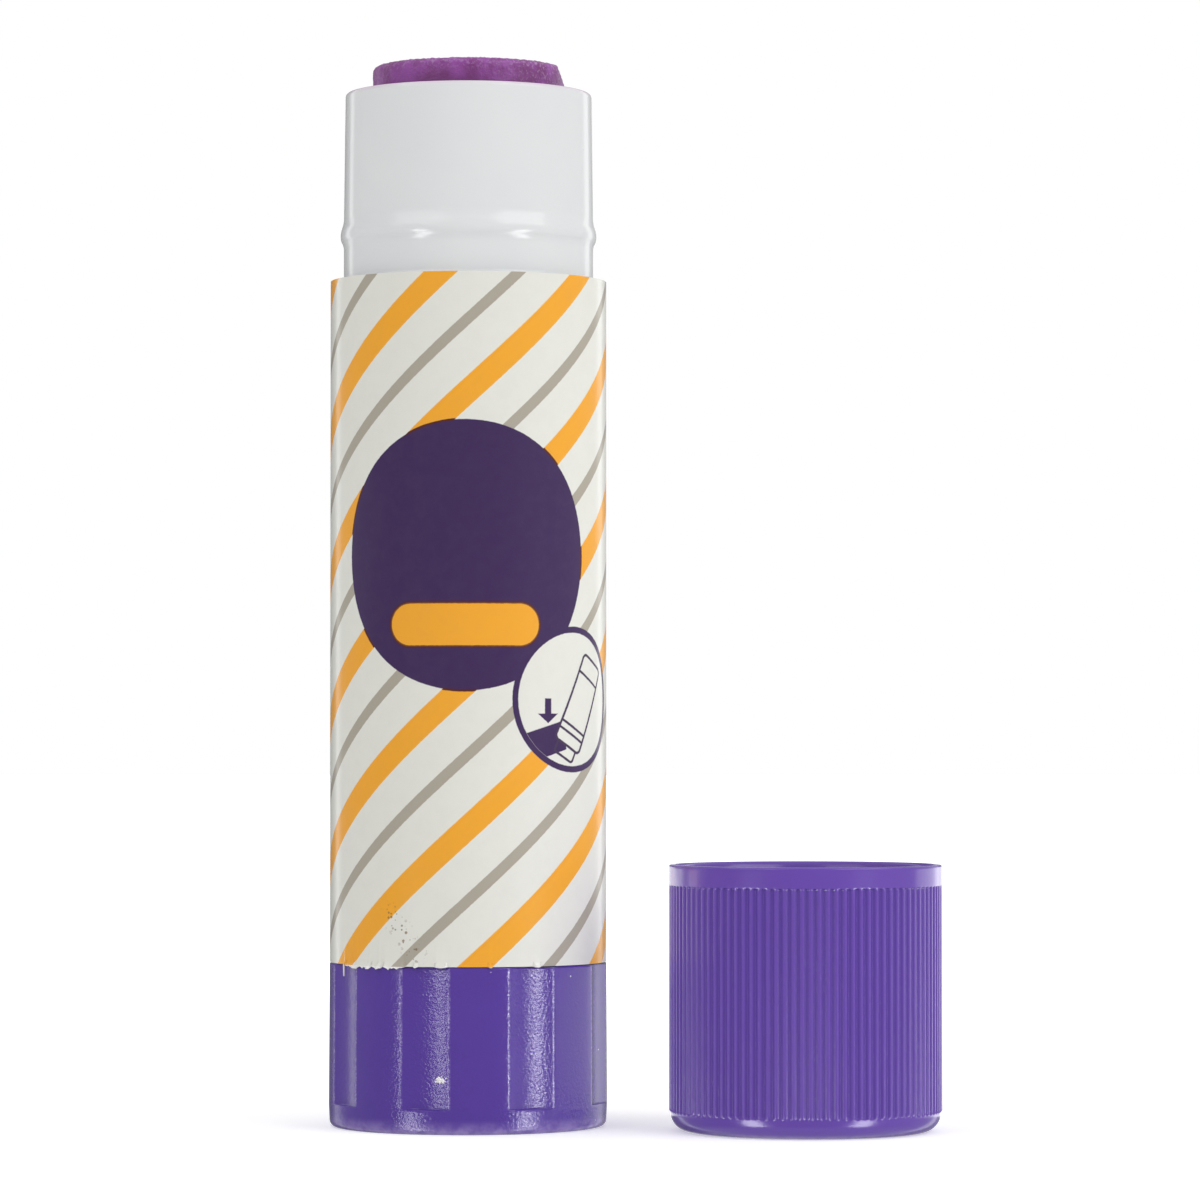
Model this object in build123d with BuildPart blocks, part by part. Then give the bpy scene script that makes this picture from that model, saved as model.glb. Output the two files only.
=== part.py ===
from build123d import *

import os
from math import cos, radians, sin

# A twist-up glue stick that stands on its knob, with its cap taken off and stood beside it.
# Sizes are in millimetres. The origin is the middle of the standing face, on the stick's axis.
# +Z is up, and -Y is the front, where the round print of the label faces.

# Driving sizes of the stick
stick_r = 13.0             # over the label
knob_h = 15.35             # standing face to the joint between knob and barrel
body_h = 64.3              # barrel from its foot to its shoulder
neck_h = 17.75             # shoulder to rim
lead = 5.0                 # climb of the glue in one turn of the knob

# Clearances
joint_gap = 0.1            # between the knob and the foot of the barrel
turning_gap = 0.08         # round the knob's collar, in radius
snap_gap = 0.12            # round the snap ring in its groove
sliding_gap = 0.12         # round the carrier, in radius
key_gap = 0.2              # beside and over each key
thread_gap = 0.2           # over the crests of both threads
end_gap = 0.3              # between pieces that meet end to end and move apart
press_gap = 0.03           # round the spindle's tail, and under the cast glue
bore_gap = 0.4             # between the glue and the turning thread
overrun = 1.0              # how far a cut runs past a face

# Label
film_t = 0.1
film_seat = 0.02           # adhesive under the film
film_foot_inset = 0.03
film_top_inset = 0.15
film_lap_w = 2.6           # width of the lap at the back

# Barrel
barrel_wall = 1.2
shoulder_w = 1.23          # step from the body in to the neck
shoulder_break = 0.25
neck_wall = 1.1
rim_round = 0.45
rim_break = 0.2
neck_bead_h = 0.4
neck_bead_up = 4.05        # shoulder to the crest of the bead
neck_bead_rise = 1.15      # the long slope above the crest, and the short one below it
neck_bead_fall = 0.95
key_count = 4
key_w = 1.2
key_proud = 0.5            # how far a key stands in from the bore of the neck
key_short = 1.0            # the keys end this far under the rim
guide_w = 0.9
rib_sink = 0.3             # how far a rib's root is buried in the wall that carries it

# Knob
knob_proud = 0.02          # how far the knob stands out past the label
knob_flare = 0.06          # the knob widens by this much down to its foot
knob_edge_round = 0.65
knob_top_break = 0.12
knob_floor_t = 1.6
foot_recess = 0.4
foot_ring_w = 1.5
flute_count = 8
flute_angle = 20.5         # width of a flute round the knob, in degrees
flute_turn = -16.5         # bearing of the first flute from the front, in degrees
flute_depth = 0.45
flute_foot = 2.3           # standing face to the foot of the flutes
collar_h = 5.0
collar_wall = 0.7
collar_lead = 0.4
snap_h = 0.3
snap_land = 0.5
snap_up = 2.4              # knob's top face to the snap ring
hub_r = 4.1
hub_h = 9.0                # over the knob's floor
web_count = 6
web_t = 0.9
web_h = 6.0

# Spindle
core_r = 1.9
thread_h = 1.1
thread_root_w = 2.4
thread_crest_w = 1.4
thread_sink = 0.15         # how far a thread's root is buried in what carries it
spindle_short = 8.15       # the spindle ends this far under the rim
spindle_tip = 0.7
flange_t = 1.1
tail_w = 3.6               # across the flats of the square tail
tail_l = 7.0
tail_lead = 0.5

# Carrier
carrier_floor_t = 1.2
cup_wall = 0.9
cup_h = 6.0                # over the underside
nut_wall = 1.1
nut_h = 10.0
nut_inset = 0.6            # the nut's thread starts and ends this far inside its ends
fin_count = 4
fin_t = 0.8
fin_h = 3.0                # over the cup's floor

# Glue
glue_proud = 2.25          # over the rim, as photographed
retract = 3.5              # how far it can still be wound down
glue_round = 0.7
wear_in = 0.75             # the worn bevel on the +X side: how far in, and how far down
wear_down = 1.75

# Cap
cap_inset = 0.3            # how much smaller than the label the cap is, in radius
cap_h = 24.7
cap_space = 6.5            # clear space between stick and cap
cap_bearing = -12.1        # from the +X axis, in degrees
rib_count = 100
rib_h = 0.22
rib_shy = 0.03             # how far the ribs stand in from the smooth band
rib_ledge = 0.05           # how far the smooth closed end stands out past the valleys
rib_foot = 1.75            # closed end to the foot of the ribs
band_h = 1.9               # smooth band round the mouth
cap_corner = 1.6
rib_crest_share = 0.36     # of one rib's pitch
rib_valley_share = 0.24
cap_fit = 0.2              # round the neck, in radius
cap_bead_gap = 0.08        # over the neck's bead in its groove
cap_seat_gap = 0.2         # over the rim when the cap is on
cap_end_t = 1.3
seal_step = 0.65           # ledge that the rim seats under
cap_inner_break = 0.6
mouth_break = 0.15
mouth_lead = 0.35
gate_well_r = 2.6
gate_well_d = 0.3
gate_r = 0.6
gate_h = 0.2

# Radii that follow from the driving sizes
barrel_r = stick_r - film_t - film_seat
bore_r = barrel_r - barrel_wall
neck_r = barrel_r - shoulder_w
neck_bore_r = neck_r - neck_wall
neck_bead_r = neck_r + neck_bead_h
key_tip_r = neck_bore_r - key_proud
knob_r = stick_r + knob_proud
knob_foot_r = knob_r + knob_flare
collar_r = bore_r - turning_gap
collar_bore_r = collar_r - collar_wall
snap_r = collar_r + snap_h
crest_r = core_r + thread_h
carrier_r = neck_bore_r - sliding_gap
cup_r = key_tip_r - key_gap
cup_bore_r = cup_r - cup_wall
nut_bore_r = crest_r + thread_gap
nut_r = nut_bore_r + nut_wall
nut_tip_r = core_r + thread_gap
glue_r = cup_bore_r - press_gap
cap_r = stick_r - cap_inset
rib_r = cap_r - rib_shy
cap_root_r = cap_r - rib_h
cap_end_skin_r = cap_root_r + rib_ledge
cap_bore_r = neck_r + cap_fit
cap_end_r = cap_bore_r - seal_step

# Angles in degrees
front_angle = 90.0         # the front, -Y, is this far clockwise of +X
half_key_angle = 180 / key_count

# Heights over the standing face
barrel_z = knob_h + joint_gap
shoulder_z = barrel_z + body_h
rim_z = shoulder_z + neck_h
neck_bead_z = shoulder_z + neck_bead_up
floor_z = foot_recess + knob_floor_t
hub_z = floor_z + hub_h
collar_z = knob_h + collar_h
snap_z = knob_h + snap_up
guide_z = collar_z + end_gap
carrier_low_z = collar_z + end_gap
carrier_z = carrier_low_z + retract
cup_floor_z = carrier_z + carrier_floor_t
nut_z = carrier_z + nut_h
spindle_z = rim_z - spindle_short
glue_z = rim_z + glue_proud
glue_bore_z = spindle_z + retract + end_gap
travel_up = spindle_z - spindle_tip - nut_z
rib_top_z = cap_h - band_h
cap_seal_z = cap_h - neck_h - cap_seat_gap
cap_bead_z = cap_h - neck_bead_up

# Where the cap stands
cap_distance = stick_r + cap_space + cap_r
cap_x = cap_distance * cos(radians(cap_bearing))
cap_y = cap_distance * sin(radians(cap_bearing))


def half_section(corners, x=0, y=0):
    """A closed half-section, stood on its axis at x, y. A corner is (radius, height, rounding)."""
    points = [corner[:2] for corner in corners]
    rounds = [corner[2] if len(corner) > 2 else 0 for corner in corners]
    with BuildSketch(Plane(origin=(x, y, 0), x_dir=(1, 0, 0), z_dir=(0, -1, 0))) as section:
        with BuildLine():
            if any(rounds):
                FilletPolyline(*points, radius=rounds, close=True)
            else:
                Polyline(*points, close=True)
        make_face()
    return section.sketch


def bead_section(carrier_radius, crest_radius, crest_z, rise, fall, x=0, y=0):
    """The half-section of a rounded bead, or of the groove for one, on its axis at x, y."""
    root = carrier_radius - rib_sink if crest_radius > carrier_radius else carrier_radius
    with BuildSketch(Plane(origin=(x, y, 0), x_dir=(1, 0, 0), z_dir=(0, -1, 0))) as section:
        with BuildLine():
            ThreePointArc(
                (carrier_radius, crest_z - fall), (crest_radius, crest_z), (carrier_radius, crest_z + rise)
            )
            Polyline(
                (carrier_radius, crest_z + rise),
                (root, crest_z + rise),
                (root, crest_z - fall),
                (carrier_radius, crest_z - fall),
            )
        make_face()
    return section.sketch


def snap_section(inner_radius, crest_radius, land):
    """The half-section of the snap ring, or of its groove: a flat land between 45-degree ramps."""
    half_base = land / 2 + crest_radius - inner_radius
    return half_section([
        (inner_radius, snap_z - half_base),
        (crest_radius, snap_z - land / 2),
        (crest_radius, snap_z + land / 2),
        (inner_radius, snap_z + half_base),
    ])


def spokes(count, first_angle, inner_radius, outer_radius, width, z):
    """A flat ring of straight bars at height z, each from the inner to the outer radius."""
    with BuildSketch(Plane.XY.offset(z)) as bars:
        with PolarLocations((inner_radius + outer_radius) / 2, count, first_angle):
            Rectangle(outer_radius - inner_radius, width)
    return bars.sketch


def thread_ridge(base_radius, tip_radius, start_z, height):
    """A left-hand ridge that winds up round the Z axis. Its middle starts on the +X side."""
    with BuildPart() as ridge:
        with BuildLine():
            Helix(lead, height, base_radius, center=(0, 0, start_z), lefthand=True)
        with BuildSketch(Plane.XZ):
            with BuildLine():
                Polyline(
                    (base_radius, start_z - thread_root_w / 2),
                    (tip_radius, start_z - thread_crest_w / 2),
                    (tip_radius, start_z + thread_crest_w / 2),
                    (base_radius, start_z + thread_root_w / 2),
                    close=True,
                )
            make_face()
        sweep(is_frenet=True)
    return ridge.part


os.makedirs("parts", exist_ok=True)

# Barrel: a stepped tube with a snap bead round its neck, four keys and four guide ribs inside
neck_step_z = shoulder_z - barrel_wall
with BuildPart() as barrel:
    revolve(half_section([
        (bore_r, barrel_z),
        (barrel_r, barrel_z),
        (barrel_r, shoulder_z - shoulder_break),
        (barrel_r - shoulder_break, shoulder_z),
        (neck_r, shoulder_z),
        (neck_r, rim_z, rim_round),
        (neck_bore_r + rim_break, rim_z),
        (neck_bore_r, rim_z - rim_break),
        (neck_bore_r, neck_step_z),
        (bore_r, neck_step_z - (bore_r - neck_bore_r)),
    ]), axis=Axis.Z)
    revolve(bead_section(neck_r, neck_bead_r, neck_bead_z, neck_bead_rise, neck_bead_fall),
            axis=Axis.Z)
    revolve(snap_section(bore_r - snap_gap, snap_r + snap_gap, snap_land + 2 * snap_gap),
            axis=Axis.Z, mode=Mode.SUBTRACT)
    extrude(spokes(key_count, 0, key_tip_r, bore_r + rib_sink, key_w, guide_z),
            amount=neck_step_z - guide_z)
    extrude(spokes(key_count, 0, key_tip_r, neck_bore_r + rib_sink, key_w, neck_step_z),
            amount=rim_z - key_short - neck_step_z)
    extrude(spokes(key_count, half_key_angle, neck_bore_r, bore_r + rib_sink, guide_w, guide_z),
            amount=neck_step_z - guide_z)
barrel.part.label = "barrel"

# Label: a printed film wrapped once round the barrel, its end lapped over its start at the back
label_foot_z = barrel_z + film_foot_inset
label_h = shoulder_z - film_top_inset - label_foot_z
with BuildPart() as label:
    with BuildSketch(Plane.XY.offset(label_foot_z)):
        Circle(stick_r)
        Circle(stick_r - film_t, mode=Mode.SUBTRACT)
    extrude(amount=label_h)
    with BuildSketch(Plane.XY.offset(label_foot_z)):
        Circle(stick_r + film_t)
        Circle(stick_r, mode=Mode.SUBTRACT)
        with Locations((0, stick_r)):
            Rectangle(film_lap_w, film_lap_w, mode=Mode.INTERSECT)
    extrude(amount=label_h)
label.part.label = "label"

# Knob: a fluted cup whose collar snaps into the foot of the barrel, with a socket on its axis
flute_half = radians(flute_angle / 2)
flute_half_chord = knob_r * sin(flute_half)
flute_sag = flute_depth - knob_r * (1 - cos(flute_half))
flute_r = (flute_half_chord ** 2 + flute_sag ** 2) / (2 * flute_sag)
flute_axis_r = knob_r - flute_depth + flute_r
foot_ring_r = knob_foot_r - knob_edge_round - foot_ring_w
with BuildPart() as knob:
    revolve(half_section([
        (0, 0),
        (hub_r, 0),
        (hub_r, foot_recess),
        (foot_ring_r, foot_recess),
        (foot_ring_r, 0),
        (knob_foot_r, 0, knob_edge_round),
        (knob_r, knob_h - knob_top_break),
        (knob_r - knob_top_break, knob_h),
        (collar_r, knob_h),
        (collar_r, collar_z - collar_lead),
        (collar_r - collar_lead, collar_z),
        (collar_bore_r, collar_z),
        (collar_bore_r, floor_z),
        (0, floor_z),
    ]), axis=Axis.Z)
    revolve(snap_section(collar_r - snap_gap, snap_r, snap_land), axis=Axis.Z)
    with BuildSketch(Plane.XY.offset(floor_z)):
        Circle(hub_r)
    extrude(amount=hub_h)
    extrude(spokes(web_count, 0, hub_r - rib_sink, collar_bore_r + rib_sink, web_t, floor_z),
            amount=web_h)
    with BuildSketch(Plane.XY.offset(hub_z)):
        Rectangle(tail_w + 2 * press_gap, tail_w + 2 * press_gap)
    extrude(amount=-tail_l - end_gap, mode=Mode.SUBTRACT)
    with BuildSketch(Plane.XY.offset(flute_foot)):
        with PolarLocations(flute_axis_r, flute_count, flute_turn - front_angle):
            Circle(flute_r)
    extrude(amount=knob_h + overrun - flute_foot, mode=Mode.SUBTRACT)
knob.part.label = "knob"

# Spindle: a screw with one left-hand thread, seated by its flange and its square tail in the knob
nut_thread_z = carrier_z + nut_inset + thread_root_w / 2
thread_z = nut_thread_z - lead / 2 - lead
with BuildPart() as spindle:
    revolve(half_section([
        (0, hub_z),
        (hub_r, hub_z),
        (hub_r, hub_z + flange_t),
        (core_r, hub_z + flange_t),
        (core_r, spindle_z - spindle_tip),
        (core_r - spindle_tip, spindle_z),
        (0, spindle_z),
    ]), axis=Axis.Z)
    with BuildSketch(Plane.XY.offset(hub_z)):
        Rectangle(tail_w, tail_w)
    extrude(amount=-tail_l)
    chamfer(faces().sort_by(Axis.Z)[0].edges(), length=tail_lead)
    add(thread_ridge(
        core_r - thread_sink,
        crest_r,
        thread_z,
        spindle_z - spindle_tip - thread_root_w / 2 - thread_z,
    ))
spindle.part.label = "spindle"

# Carrier: a cup under the glue, notched to run on the keys, with a nut on the spindle's thread
with BuildPart() as carrier:
    revolve(half_section([
        (nut_bore_r, carrier_z),
        (carrier_r, carrier_z),
        (carrier_r, cup_floor_z),
        (cup_r, cup_floor_z),
        (cup_r, carrier_z + cup_h),
        (cup_bore_r, carrier_z + cup_h),
        (cup_bore_r, cup_floor_z),
        (nut_r, cup_floor_z),
        (nut_r, nut_z),
        (nut_bore_r, nut_z),
    ]), axis=Axis.Z)
    extrude(spokes(key_count, 0, cup_r, carrier_r + overrun, key_w + 2 * key_gap, carrier_z),
            amount=carrier_floor_t, mode=Mode.SUBTRACT)
    extrude(spokes(fin_count, half_key_angle, nut_r - rib_sink, cup_bore_r + rib_sink, fin_t, cup_floor_z),
            amount=fin_h)
    add(thread_ridge(
        nut_bore_r + thread_sink,
        nut_tip_r,
        nut_thread_z,
        nut_h - 2 * nut_inset - thread_root_w,
    ))
carrier.part.label = "carrier"

# Glue: cast into the cup round the nut and its fins, hollow over the spindle, worn on one side
glue_foot_z = cup_floor_z + press_gap
with BuildPart() as glue:
    revolve(half_section([
        (nut_r + press_gap, glue_foot_z),
        (glue_r, glue_foot_z),
        (glue_r, glue_z, glue_round),
        (0, glue_z),
        (0, glue_bore_z),
        (crest_r + bore_gap, glue_bore_z),
        (crest_r + bore_gap, nut_z + press_gap),
        (nut_r + press_gap, nut_z + press_gap),
    ]), axis=Axis.Z)
    extrude(spokes(fin_count, half_key_angle, nut_r, cup_bore_r, fin_t + 2 * press_gap, cup_floor_z),
            amount=fin_h + press_gap, mode=Mode.SUBTRACT)
    split(bisect_by=Plane(origin=(glue_r, 0, glue_z - wear_down), z_dir=(wear_down, 0, wear_in)),
          keep=Keep.BOTTOM)
glue.part.label = "glue"

# Cap: a ribbed cup that stands mouth up beside the stick, with a groove for the neck's bead
rib_pitch = 360 / rib_count
rib_points = []
for rib in range(rib_count):
    for radius, turn_share in (
        (rib_r, -rib_crest_share / 2),
        (rib_r, rib_crest_share / 2),
        (cap_root_r, (1 - rib_valley_share) / 2),
        (cap_root_r, (1 + rib_valley_share) / 2),
    ):
        angle = radians((rib + turn_share) * rib_pitch)
        rib_points.append((radius * cos(angle), radius * sin(angle)))
cap_axis = Axis((cap_x, cap_y, 0), (0, 0, 1))
with BuildPart() as cap:
    with BuildSketch(Plane((cap_x, cap_y, rib_foot))):
        with BuildLine():
            Polyline(*rib_points, close=True)
        make_face()
    extrude(amount=rib_top_z - rib_foot)
    revolve(half_section([
        (0, rib_foot),
        (cap_end_skin_r, rib_foot),
        (cap_r, rib_foot + rib_h),
        (cap_r, rib_top_z),
        (0, rib_top_z),
    ], cap_x, cap_y), axis=cap_axis, mode=Mode.INTERSECT)
    revolve(half_section([
        (0, 0),
        (cap_end_skin_r, 0, cap_corner),
        (cap_end_skin_r, rib_foot),
        (0, rib_foot),
    ], cap_x, cap_y), axis=cap_axis)
    revolve(half_section([
        (0, rib_top_z),
        (cap_r, rib_top_z),
        (cap_r, cap_h - mouth_break),
        (cap_r - mouth_break, cap_h),
        (0, cap_h),
    ], cap_x, cap_y), axis=cap_axis)
    revolve(half_section([
        (0, cap_end_t),
        (cap_end_r - cap_inner_break, cap_end_t),
        (cap_end_r, cap_end_t + cap_inner_break),
        (cap_end_r, cap_seal_z),
        (cap_bore_r, cap_seal_z),
        (cap_bore_r, cap_h - mouth_lead),
        (cap_bore_r + mouth_lead + overrun, cap_h + overrun),
        (0, cap_h + overrun),
    ], cap_x, cap_y), axis=cap_axis, mode=Mode.SUBTRACT)
    revolve(bead_section(cap_bore_r, neck_bead_r + cap_bead_gap, cap_bead_z,
                         neck_bead_fall, neck_bead_rise, cap_x, cap_y),
            axis=cap_axis, mode=Mode.SUBTRACT)
    with BuildSketch(Plane((cap_x, cap_y, 0))):
        Circle(gate_well_r)
        Circle(gate_r, mode=Mode.SUBTRACT)
    extrude(amount=gate_well_d, mode=Mode.SUBTRACT)
    with BuildSketch(Plane((cap_x, cap_y, 0))):
        Circle(gate_r)
    extrude(amount=gate_well_d - gate_h, mode=Mode.SUBTRACT)
cap.part.label = "cap"

export_step(barrel.part, "parts/barrel.step")
export_step(label.part, "parts/label.step")
export_step(knob.part, "parts/knob.step")
export_step(spindle.part, "parts/spindle.step")
export_step(carrier.part, "parts/carrier.step")
export_step(glue.part, "parts/glue.step")
export_step(cap.part, "parts/cap.step")

print("glue travel down and up", retract, round(travel_up, 3), "lead", lead)
print("cap stands at", round(cap_x, 3), round(cap_y, 3))
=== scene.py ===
# %% [markdown]
# # A twist-up glue stick and its cap
#
# The construction model gives the true sizes and the moving parts. This file gives the looks:
# each cell below makes one piece or one finish, and says why it is made that way. Lengths are
# in metres, as Blender keeps them, so a size in millimetres is written as a number times mm.

from math import atan2, cos, degrees, hypot, pi, radians, sin, sqrt

import bmesh
import bpy
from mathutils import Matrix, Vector


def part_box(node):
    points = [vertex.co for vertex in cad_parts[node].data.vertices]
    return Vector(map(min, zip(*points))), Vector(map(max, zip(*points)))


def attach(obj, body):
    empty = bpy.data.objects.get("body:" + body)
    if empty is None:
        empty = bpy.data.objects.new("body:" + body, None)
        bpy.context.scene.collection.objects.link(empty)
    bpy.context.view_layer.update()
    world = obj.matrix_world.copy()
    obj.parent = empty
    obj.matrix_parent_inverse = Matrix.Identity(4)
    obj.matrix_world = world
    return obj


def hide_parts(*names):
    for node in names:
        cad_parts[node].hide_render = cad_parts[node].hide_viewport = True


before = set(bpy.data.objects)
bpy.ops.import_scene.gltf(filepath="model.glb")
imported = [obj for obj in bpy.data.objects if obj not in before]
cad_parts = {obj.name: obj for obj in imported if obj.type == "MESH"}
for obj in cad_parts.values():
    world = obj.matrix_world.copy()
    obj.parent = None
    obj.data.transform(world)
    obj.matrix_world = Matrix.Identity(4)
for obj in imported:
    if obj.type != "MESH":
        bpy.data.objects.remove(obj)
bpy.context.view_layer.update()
mm = 0.001

# %% [markdown]
# ## Camera
#
# The photograph is taken from straight in front, half a metre away and a little over a third of
# the way up the stick. The arcs of the rim, the bead and the knob's foot tell so, because an arc
# curves more the further it is from the lens's height. The lens could be shifted to frame the
# object, but a tilt of under one and a half degrees stays true from any other side.

# %% Camera
camera_x, camera_away, camera_up = 12.41 * mm, 500 * mm, 37 * mm
tilt_up = 1.424
lens_in_mm, sensor_in_mm = 159.13, 36
bpy.ops.object.select_all(action="DESELECT")
bpy.ops.object.camera_add(
    location=(camera_x, -camera_away, camera_up), rotation=(radians(90 + tilt_up), 0, 0)
)
camera = bpy.context.object
camera.data.sensor_width = sensor_in_mm
camera.data.lens = lens_in_mm
camera.data.clip_start = 0.05
camera.data.clip_end = 20
bpy.context.scene.camera = camera
bpy.context.scene.view_settings.view_transform = "Standard"
print("camera", round(camera.data.lens, 1), "mm lens")

# %% [markdown]
# ## Helpers for modelling
#
# Nearly every piece here is turned: half of its outline is drawn as a chain of edges, and the
# chain is spun round the axis. The chain starts from a plane that is merged to a point, grows
# by extruding that point, and has its corners rounded with the Bevel tool. A long wall also gets
# a plain corner just past each rounding, because smooth shading would otherwise bend the light
# along the whole wall. These few helpers hold the steps that every piece needs.

# %% Helpers for selecting
def choose(*pieces):
    """Selects some pieces and nothing else, and works on the first."""
    bpy.ops.object.select_all(action="DESELECT")
    for piece in pieces:
        piece.select_set(True)
    bpy.context.view_layer.objects.active = pieces[0]


def begin(name, place=(0, 0, 0)):
    """Adds a plane, merges it to one point at the place, and stays in edit mode."""
    bpy.ops.object.select_all(action="DESELECT")
    bpy.ops.mesh.primitive_plane_add(size=mm, location=place)
    piece = bpy.context.object
    piece.name = piece.data.name = name
    bpy.ops.object.transform_apply(location=True, rotation=True, scale=True)
    bpy.ops.object.mode_set(mode="EDIT")
    bpy.ops.mesh.select_mode(type="VERT")
    bpy.ops.mesh.select_all(action="SELECT")
    bpy.ops.mesh.merge(type="CENTER")
    return piece


def middle(part):
    """Where a corner is, or the middle of an edge or a face."""
    if isinstance(part, bmesh.types.BMVert):
        return part.co
    return sum((corner.co for corner in part.verts), Vector()) / len(part.verts)


def pick(test, kind="VERT"):
    """Selects the corners, edges or faces of the piece in edit mode whose place passes a test."""
    bpy.ops.mesh.select_mode(type=kind)
    bpy.ops.mesh.select_all(action="DESELECT")
    mesh = bmesh.from_edit_mesh(bpy.context.object.data)
    for part in {"VERT": mesh.verts, "EDGE": mesh.edges, "FACE": mesh.faces}[kind]:
        part.select = bool(test(middle(part)))
    mesh.select_flush_mode()
    bmesh.update_edit_mesh(bpy.context.object.data)


def scale_round(share, at=(0, 0)):
    """Draws what is selected towards an upright axis, to a share of its distance from it."""
    bpy.ops.transform.resize(value=(share, share, 1), center_override=(*at, 0))


def draw_in(groups, share_of, at=(0, 0)):
    """Draws each group of corners towards an upright axis, to the share that its key gives."""
    bpy.ops.mesh.select_mode(type="VERT")
    bpy.ops.mesh.select_all(action="DESELECT")
    for key, corners in groups.items():
        if share_of(key) < 1:
            for corner in corners:
                corner.select = True
            scale_round(share_of(key), at)
            for corner in corners:
                corner.select = False


# %% Helpers for turning
def with_holds(corners, past=0.12 * mm):
    """Adds a plain corner just past each rounding, where the wall beyond it is long."""
    held = [corners[0]]
    for start, end in zip(corners, corners[1:]):
        reaches = [corner[2] if len(corner) > 2 else 0 for corner in (start, end)]
        length = hypot(end[0] - start[0], end[1] - start[1])
        if length > sum(reaches) + 5 * past:
            for reach, share in ((reaches[0], (reaches[0] + past) / length),
                                 (reaches[1], 1 - (reaches[1] + past) / length)):
                if reach:
                    held.append(tuple(a + (b - a) * share for a, b in zip(start[:2], end[:2])))
        held.append(end)
    return held


def draw_chain(name, corners, closed=False, at=(0, 0)):
    """Draws half an outline. A corner is (radius, height, how far its rounding reaches)."""
    corners = with_holds(corners)
    places = [(at[0] + corner[0], at[1], corner[1]) for corner in corners]
    piece = begin(name, places[0])
    for start, end in zip(places, places[1:]):
        step = tuple(b - a for a, b in zip(start, end))
        bpy.ops.mesh.extrude_region_move(TRANSFORM_OT_translate={"value": step})
    if closed:
        pick(lambda p: any((p - Vector(end)).length < 1e-7 for end in (places[0], places[-1])))
        bpy.ops.mesh.edge_face_add()
    for place, corner in zip(places, corners):
        if len(corner) > 2:
            pick(lambda p: (p - Vector(place)).length < 1e-7)
            bpy.ops.mesh.bevel(
                offset=corner[2], segments=max(3, round(corner[2] / (0.12 * mm))),
                affect="VERTICES",
            )
    return piece


def spin_chain(steps, part=1, at=(0, 0)):
    """Spins the chain round an upright axis, through a part of the full turn."""
    bpy.ops.mesh.select_all(action="SELECT")
    bpy.ops.mesh.spin(steps=steps, angle=-2 * pi * part, center=(*at, 0), axis=(0, 0, 1))


def close_round(copies=1, at=(0, 0)):
    """Copies the sector round the axis, welds the seams and the poles, and faces it outwards."""
    bpy.ops.mesh.select_all(action="SELECT")
    if copies > 1:
        bpy.ops.mesh.spin(steps=copies - 1, dupli=True, angle=-2 * pi * (copies - 1) / copies,
                          center=(*at, 0), axis=(0, 0, 1))
    bpy.ops.mesh.select_all(action="SELECT")
    bpy.ops.mesh.remove_doubles(threshold=1e-6)
    bpy.ops.mesh.normals_make_consistent(inside=False)


def turn_off(place, first, pitch, at=(0, 0)):
    """The angle in degrees to a place from the nearest of some evenly spaced bearings."""
    angle = degrees(atan2(place.y - at[1], place.x - at[0])) - first
    return abs((angle + pitch / 2) % pitch - pitch / 2)


def finish_shape(piece, sharp_angle=35):
    """Leaves edit mode and shades the piece smooth, apart from its sharp edges."""
    if bpy.context.object.mode == "EDIT":
        bpy.ops.object.mode_set(mode="OBJECT")
    choose(piece)
    bpy.ops.object.shade_smooth_by_angle(angle=radians(sharp_angle), keep_sharp_edges=True)
    print(piece.name, len(piece.data.polygons), "faces",
          [round(side / mm, 2) for side in piece.dimensions], "mm")


# %% [markdown]
# ## Barrel
#
# The barrel is one white moulding: a wide tube that carries the label, a step in to the neck,
# and a snap bead round the neck that holds the cap. Only the neck and a hair of the step show,
# so that is where the outline needs its small curves. The bead is not a ring laid on the tube.
# It flows out of the wall, with a hollow on each side, and its rounded crest is what catches
# the light. The neck narrows a hair towards its rim, as a moulding must to leave its mould.
# Inside, four keys run down the bore to keep the carrier from turning. They are drawn out of the
# bore's own faces, which leaves one clean wall.

# %% Barrel
barrel_low, barrel_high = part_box("barrel")
barrel_r = 12.88 * mm
wide_bore_r = 11.68 * mm
neck_r = 11.76 * mm
neck_rim_r = 11.61 * mm
neck_bore_r = 10.55 * mm
key_tip_r = 10.05 * mm
bead_r = 12.07 * mm
foot_z = barrel_low.z
rim_z = barrel_high.z - 0.32 * mm
shoulder_z = rim_z - 17.75 * mm
bead_z = shoulder_z + 4.3 * mm
step_z = shoulder_z - 1.2 * mm
bead_hollows = (bead_z - 0.95 * mm, bead_z + 1.15 * mm)
bead_crests = (bead_z - 0.42 * mm, bead_z + 0.34 * mm)
step_round = 0.25 * mm
groove_z = foot_z + 2.3 * mm
groove_half = 0.37 * mm
groove_deep = 0.34 * mm
key_foot_z = foot_z + 5.2 * mm
key_top_z = rim_z - 1.0 * mm
round_steps = 240
step_angle = 360 / round_steps
rib_half_angle = 1.9 * step_angle
key_pitch = 360 / 4

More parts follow.
